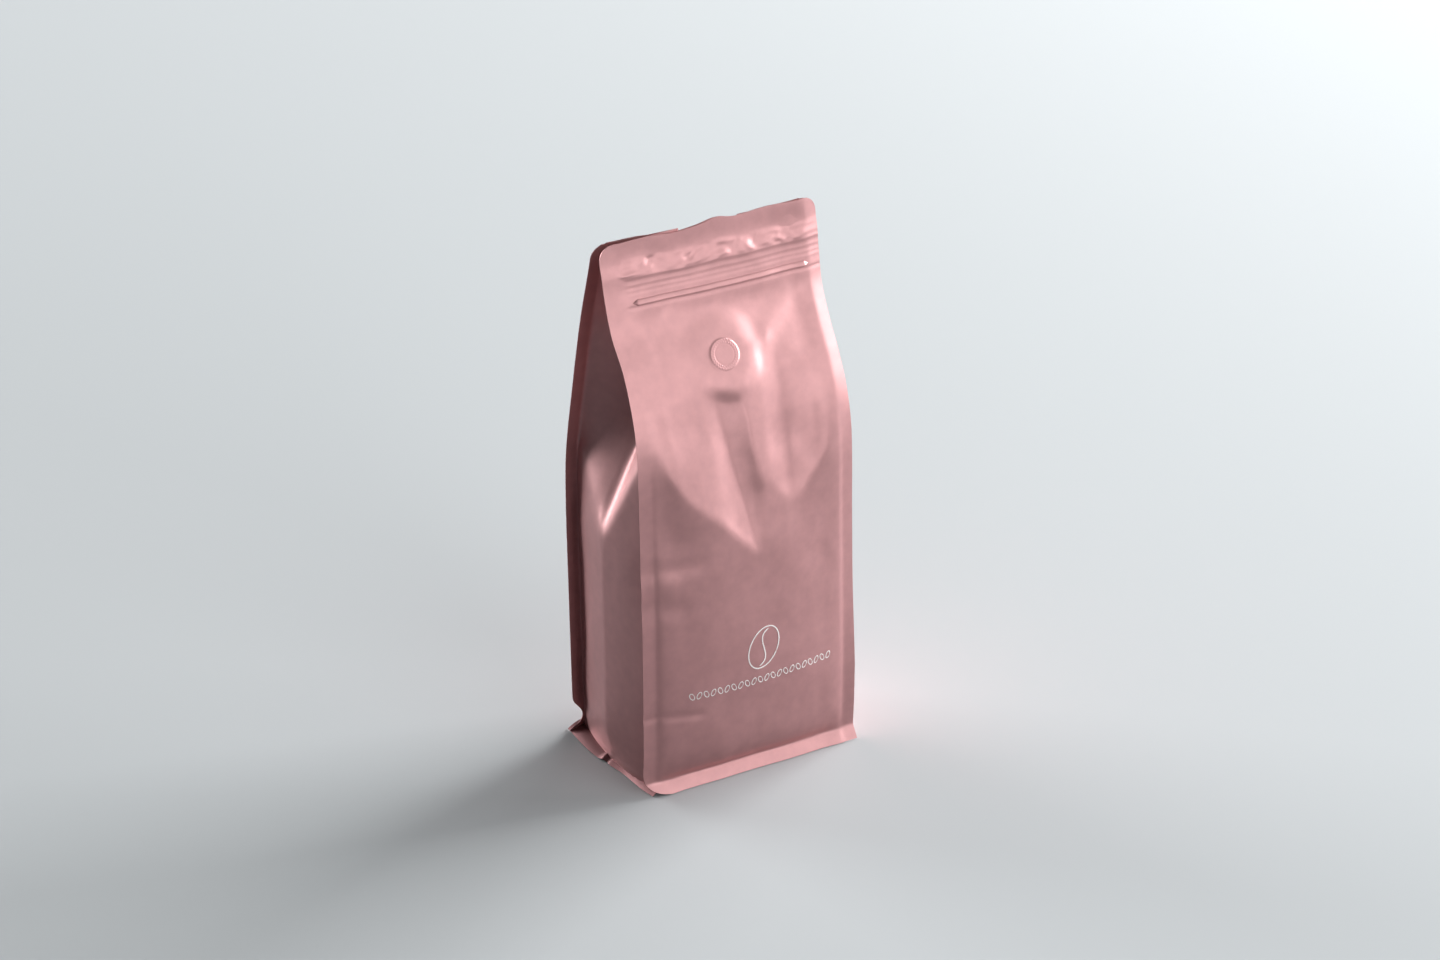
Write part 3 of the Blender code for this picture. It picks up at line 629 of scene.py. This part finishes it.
def makeGusset(name, hand):
    fork = gussetFold(hand, gusset["forkHeight"])
    finSteps = 8
    half = gusset["steps"] // 2
    grid = []
    top = bag["height"] - 0.0006
    crease = bag["creaseHeight"] + 0.0005
    for height in steps((gusset["foot"], crease, 0.0010), (crease, top, gusset["rowStep"])):
        row = []
        for side in (-1, 1):
            corners = gussetHalf(side, hand, height, fork)
            fin = resampled(corners[:2], finSteps)[:-1]
            rest = resampled(corners[1:], half + 1)
            row.append(np.concatenate([fin, rest]))
        grid.append(np.concatenate([row[0], row[1][-2::-1]]))
    grid = np.array(grid)
    wide = softened(grid, 5.0, 6.0)
    across = np.linspace(-1, 1, grid.shape[1])[None, :] * np.ones((grid.shape[0], 1))
    loose = smoothStep(0.06, 0.20, across) * (1 - smoothStep(0.66, 0.80, across))  # the back half hangs soft
    loose *= smoothStep(0.120, 0.150, grid[..., 2]) * (1 - smoothStep(0.225, 0.250, grid[..., 2]))
    grid = grid * (1 - loose[..., None]) + wide * loose[..., None]
    middle = softened(grid, 2.4, 2.4)
    branch = smoothStep(-0.72, -0.60, across) * (1 - smoothStep(0.05, 0.20, across))  # the fork's front branch is round
    branch *= smoothStep(0.140, 0.150, grid[..., 2]) * (1 - smoothStep(0.225, 0.240, grid[..., 2]))
    grid = grid * (1 - branch[..., None]) + middle * branch[..., None]
    grid = softened(grid, gusset["round"], gusset["round"])
    body = 1 - smoothStep(0.72, 0.84, np.abs(across))
    normals = gridNormals(grid) * hand
    low = 1 - smoothStep(0.140, 0.170, grid[..., 2])
    swell = 0.0012 * low * body * np.sin(np.abs(across) / 0.84 * math.pi)
    ripple = 0.0005 * hashNoise(grid[..., 1] / 0.020 + 5 * hand, grid[..., 2] / 0.036, 31) * body
    grid = grid + normals * (swell + ripple)[..., None]
    under = np.clip((gusset["footRound"] - grid[..., 2]) / gusset["footRound"], 0.0, 1.0)
    grid[..., 0] -= hand * gusset["footTuck"] * (1 - np.sqrt(1 - under**2)) * body
    normals = gridNormals(grid) * hand
    inner = grid - normals * gusset["thickness"]
    if hand < 0:
        grid, inner = grid[:, ::-1], inner[:, ::-1]
    return closedSheet(name, grid, inner)


leftGusset = finishPiece(makeGusset("leftGusset", -1), filmRose, "bag_film", "bag")
rightGusset = finishPiece(makeGusset("rightGusset", 1), filmRose, "bag_film", "bag")


bottom = {
    "inset": ((0.0004, 0.0065), (0.0012, 0.0030), (0.0026, 0.0008), (0.0054, 0.0)),
    "lipReach": ((-0.046, 0.0030), (-0.035, 0.0042), (-0.015, 0.0056), (0.006, 0.0086), (0.020, 0.0092),
                 (0.036, 0.0092), (0.0515, 0.0086)),
    "lipThickness": 0.0004,
    "lipInset": 0.0060,
    "lipHeight": 0.0046,
    "tuckAt": 0.0080,
    "corner": 0.005,
}


def footLoop(inset):
    front, back = -0.0414 + inset, 0.0431 - inset
    side = bag["root"] - 0.0040 - inset
    corner = bottom["corner"]
    loop = []
    for cx, cy, turn in ((side, back, 0), (-side, back, 90), (-side, front, 180), (side, front, 270)):
        hx, hy = math.copysign(corner, cx), math.copysign(corner, cy)
        for step in range(7):
            angle = math.radians(turn + 15 * step)
            loop.append((cx - hx + corner * math.cos(angle), cy - hy + corner * math.sin(angle)))
    return loop


def makeBottom():
    loops = [np.array([(x, y, height) for x, y in footLoop(inset)]) for inset, height in bottom["inset"]]
    count = len(loops[0])
    points = np.concatenate(loops)
    faces = []
    for ring in range(len(loops) - 1):
        for i in range(count):
            j = (i + 1) % count
            faces.append((ring * count + i, (ring + 1) * count + i, (ring + 1) * count + j, ring * count + j))
    faces.append([i for i in range(count)])
    faces.append([(len(loops) - 1) * count + i for i in reversed(range(count))])
    return meshPiece("bottomPanel", points, faces)


bottomPanel = finishPiece(makeBottom(), filmRose, "bag_film", "bag")


def makeLip(name, hand):
    # the side seam's film, turned out over the ground, with a tuck where the bottom folds meet
    rows, columns = 14, 200
    ys = np.linspace(-0.0440, 0.0512, columns)
    share = np.linspace(0.0, 1.0, rows)[:, None]
    reach = curveAt(bottom["lipReach"], ys) + bottom["lipInset"]
    wave = 0.0005 * np.sin(ys / 0.0085 + hand) * share
    out = -bottom["lipInset"] + reach * share + wave
    z = bottom["lipHeight"] * (1 - share**2.2) + 0.0006
    tuck = np.exp(-((ys - bottom["tuckAt"]) / 0.0022)**2)
    z = z + 0.0014 * tuck * np.sin(share * math.pi * 0.75)
    out = out - 0.0012 * np.exp(-((ys - bottom["tuckAt"] + 0.0035) / 0.0020)**2) * share
    grid = np.stack([hand * (bag["root"] + out), ys + 0 * out, z + 0 * out], axis=-1)[::-1]
    normals = gridNormals(grid) * hand
    inner = grid - normals * bottom["lipThickness"]
    inner[..., 2] = np.maximum(inner[..., 2], 0.0)
    if hand < 0:
        grid, inner = grid[:, ::-1], inner[:, ::-1]
    return closedSheet(name, grid, inner)


# the lips take the darkened film, painted shade for the shade beside the bag
leftLip = finishPiece(makeLip("leftLip", -1), filmPaintedShade, "bag_film", "bag")
rightLip = finishPiece(makeLip("rightLip", 1), filmPaintedShade, "bag_film", "bag")


def makeValve():
    # a low disc pressed through the film: rounded rim, a band of small beads, a flat middle
    sides, rings = 216, 44
    depth, slopeX, slopeZ = valve["plane"]
    outward = Vector((slopeX, -1.0, slopeZ)).normalized()
    right = Vector((0, 0, 1)).cross(-outward).normalized()
    up = outward.cross(right)
    centre = Vector((valve["x"], depth, valve["height"])) + outward * valve["gap"]
    radius = np.linspace(0.0, 1.0, rings + 1)[1:, None] * np.ones((1, sides))
    angle = np.linspace(0.0, 2 * math.pi, sides, endpoint=False)[None, :]
    lift = 0.34 * (1 - smoothStep(0.86, 1.0, radius)**1.2) + 0.02
    lift = lift - 0.10 * np.exp(-((radius - 0.63) / 0.045)**2) - 0.06 * (1 - smoothStep(0.55, 0.66, radius))
    for at, phase in ((0.73, 0.0), (0.86, 0.5)):
        count = valve["beads"]
        bead = np.maximum(np.cos((angle * count / (2 * math.pi) + phase) * 2 * math.pi), 0.0)**2
        strength = 0.35 + 0.65 * np.maximum(np.cos(2 * (angle - 0.85)), 0.0)  # clearest at two opposite sides
        lift = lift + 0.24 * bead * np.exp(-((radius - at) / 0.048)**2) * strength
    place = radius * valve["radius"]
    flat = np.array(centre)[None, None, :] + place[..., None] * (
        np.cos(angle)[..., None] * np.array(right) + np.sin(angle)[..., None] * np.array(up))
    top = flat + (lift * 0.001)[..., None] * np.array(outward)
    points = np.concatenate([[np.array(centre) + np.array(outward) * 0.0003], top.reshape(-1, 3), flat[-1]])
    faces = [(0, 1 + i, 1 + (i + 1) % sides) for i in range(sides)]
    for ring in range(rings):
        for i in range(sides):
            j = (i + 1) % sides
            a, b = 1 + ring * sides, 1 + (ring + 1) * sides
            faces.append((a + i, b + i, b + j, a + j))
    last = 1 + rings * sides
    faces.append([last + i for i in reversed(range(sides))])
    return meshPiece("ventValve", points, faces)


ventValve = finishPiece(makeValve(), filmRose, "valve_film", "valve")


def makeZipRib():
    xs = np.linspace(zipTrack["left"], zipTrack["right"], 160)
    end = np.minimum(xs - zipTrack["left"], zipTrack["right"] - xs)
    size = 0.15 + 0.85 * smoothStep(0.0, 0.0030, end)
    turns = np.linspace(0.0, math.pi, 15)
    grid = []
    for turn in turns:
        z = zipHeight(xs) + zipTrack["half"] * size * math.cos(turn)
        lean = 1 - 0.45 * math.cos(turn)  # the lower edge stands out more than the upper one
        y = frontDepth(xs, z) - 0.00005 - zipTrack["proud"] * size * lean * math.sin(turn)
        grid.append(np.stack([xs, y, z], axis=-1))
    grid = np.array(grid)[::-1]
    inner = grid.copy()
    for row, turn in enumerate(turns[::-1]):
        z = grid[row, :, 2]
        inner[row, :, 1] = frontDepth(xs, z) - 0.00002
    inner[0] = grid[0]
    inner[-1] = grid[-1]
    inner[..., 1] += 0.0001
    return closedSheet("zipRib", grid, inner)


zipRib = finishPiece(makeZipRib(), filmRose, "zip_film", "zip_track")


# a small line drawing of a bean and a row of little beans under it, in off-white ink
printed = {
    "beanAt": (0.0045, 0.0835), "beanSize": (0.0098, 0.0135), "beanTurn": math.radians(-28), "line": 0.00075,
    "rowFrom": -0.0435, "rowTo": 0.0515, "rowHeight": 0.0632, "rowCount": 22, "rowSize": (0.0013, 0.0022),
    "proud": 0.00012,
}


def onFilm(x, z, away):
    return np.stack([x, frontDepth(x, z) - away, z], axis=-1)


def inkStroke(xs, zs, width):
    # a ribbon of ink along a line on the front film, as one closed thin sheet
    dx, dz = np.gradient(xs), np.gradient(zs)
    length = np.hypot(dx, dz)
    ends = np.minimum(np.arange(len(xs)), np.arange(len(xs))[::-1]) / 3.0
    half = width / 2 * np.sqrt(np.clip(ends + 0.15, 0.0, 1.0))
    sideX, sideZ = -dz / length * half, dx / length * half
    rows = [onFilm(xs + sideX * k, zs + sideZ * k, printed["proud"]) for k in (1, 0, -1)]
    grid = np.array(rows)
    inner = grid + np.array((0.0, 0.00010, 0.0))
    return grid, inner


def beanLine(centre, size, turn, count):
    angle = np.linspace(0.0, 2 * math.pi, count)
    x, z = size[0] * np.cos(angle), size[1] * np.sin(angle)
    return centre[0] + x * math.cos(turn) - z * math.sin(turn), centre[1] + x * math.sin(turn) + z * math.cos(turn)


def beanFold(centre, size, turn, count):
    t = np.linspace(-0.86, 0.86, count)
    x, z = -0.42 * size[0] * np.sin(t * math.pi * 0.95), size[1] * t
    return centre[0] + x * math.cos(turn) - z * math.sin(turn), centre[1] + x * math.sin(turn) + z * math.cos(turn)


def joined(name, sheets):
    # several closed sheets as one mesh
    points, faces, base = [], [], 0
    for outer, inner in sheets:
        sheetPoints, sheetFaces = sheetParts(outer, inner)
        points.append(sheetPoints)
        faces.append(sheetFaces + base)
        base += len(sheetPoints)
    return meshPiece(name, np.concatenate(points), np.concatenate(faces))


def makeBeanPrint():
    at, size, turn, line = printed["beanAt"], printed["beanSize"], printed["beanTurn"], printed["line"]
    sheets = [inkStroke(*beanLine(at, size, turn, 120), line), inkStroke(*beanFold(at, size, turn, 60), line)]
    return joined("beanPrint", sheets)


def makeBeanRow():
    sheets = []
    for i in range(printed["rowCount"]):
        share = i / (printed["rowCount"] - 1)
        centre = (printed["rowFrom"] + (printed["rowTo"] - printed["rowFrom"]) * share, printed["rowHeight"])
        turn = math.radians(-28 if i % 2 else 28)
        sheets.append(inkStroke(*beanLine(centre, printed["rowSize"], turn, 24), 0.00050))
    return joined("beanRow", sheets)


beanPrint = finishPiece(makeBeanPrint(), printInk, "bag_film")
beanRow = finishPiece(makeBeanRow(), printInk, "bag_film")


stage = {"floorColor": (0.56, 0.59, 0.605), "bounceColor": (0.22, 0.23, 0.24), "floorSize": 6.0}


def makeFloor():
    size = stage["floorSize"]
    points = np.array([(-size, -size, 0), (size, -size, 0), (size, size, 0), (-size, size, 0)], float)
    floor = meshPiece("floor", points, [(0, 1, 2, 3)])
    material = bpy.data.materials.new("paleFloor")
    material.use_nodes = True
    nodes, links = material.node_tree.nodes, material.node_tree.links
    nodes.remove(nodes["Principled BSDF"])
    path = nodes.new("ShaderNodeLightPath")
    mix = nodes.new("ShaderNodeMixShader")  # pale to look at, but it throws little light back on the film
    links.new(path.outputs["Is Camera Ray"], mix.inputs[0])
    for slot, color in ((1, stage["bounceColor"]), (2, stage["floorColor"])):
        diffuse = nodes.new("ShaderNodeBsdfDiffuse")
        diffuse.inputs["Color"].default_value = (*color, 1.0)
        links.new(diffuse.outputs[0], mix.inputs[slot])
    links.new(mix.outputs[0], nodes["Material Output"].inputs["Surface"])
    floor.data.materials.append(material)
    return floor


makeFloor()

lights = (
    {"name": "rightSoftbox", "azimuth": 5, "elevation": 6, "distance": 4.8, "size": 3.2, "power": 860},
    {"name": "rearSoftbox", "azimuth": 25, "elevation": 10, "distance": 4.8, "size": 3.2, "power": 140},
    {"name": "sideSoftbox", "azimuth": -15, "elevation": 6, "distance": 4.8, "size": 2.8, "power": 190},
    {"name": "frontSoftbox", "azimuth": -82, "elevation": 7, "distance": 4.8, "size": 2.8, "power": 96},
    {"name": "topSoftbox", "azimuth": -70, "elevation": 42, "distance": 4.8, "size": 3.2, "power": 46},
    {"name": "backSoftbox", "azimuth": 118, "elevation": 6, "distance": 4.8, "size": 2.8, "power": 275},
)


def makeLight(spec):
    data = bpy.data.lights.new(spec["name"], "AREA")
    data.energy = spec["power"]
    data.shape = "SQUARE"
    data.size = spec["size"]
    turn, rise = math.radians(spec["azimuth"]), math.radians(spec["elevation"])
    towards = Vector((math.cos(turn) * math.cos(rise), math.sin(turn) * math.cos(rise), math.sin(rise)))
    lamp = bpy.data.objects.new(spec["name"], data)
    lamp.location = Vector((0, 0, 0.15)) + towards * spec["distance"]
    lamp.rotation_euler = towards.to_track_quat("Z", "Y").to_euler()
    bpy.context.scene.collection.objects.link(lamp)


for spec in lights:
    makeLight(spec)

world = bpy.data.worlds.new("studio")
world.use_nodes = True
world.node_tree.nodes["Background"].inputs["Color"].default_value = (0.80, 0.86, 0.90, 1.0)
world.node_tree.nodes["Background"].inputs["Strength"].default_value = 0.04
bpy.context.scene.world = world

view = {"lens": 102.22, "azimuth": math.radians(-30.565), "elevation": math.radians(26.557), "distance": 2.387,
        "target": (0.0044, 0.0, 0.1709)}


def makeCamera():
    back = Vector((math.sin(view["azimuth"]) * math.cos(view["elevation"]),
                   -math.cos(view["azimuth"]) * math.cos(view["elevation"]), math.sin(view["elevation"])))
    data = bpy.data.cameras.new("photoCamera")
    data.lens = view["lens"]
    data.sensor_width = 36
    data.clip_end = 50
    camera = bpy.data.objects.new("photoCamera", data)
    target = Vector(view["target"]) + Vector((0, bag["shiftY"], 0))
    camera.location = target + back * view["distance"]
    camera.rotation_euler = back.to_track_quat("Z", "Y").to_euler()
    bpy.context.scene.collection.objects.link(camera)
    bpy.context.scene.camera = camera


makeCamera()
bpy.context.scene.view_settings.view_transform = "Standard"
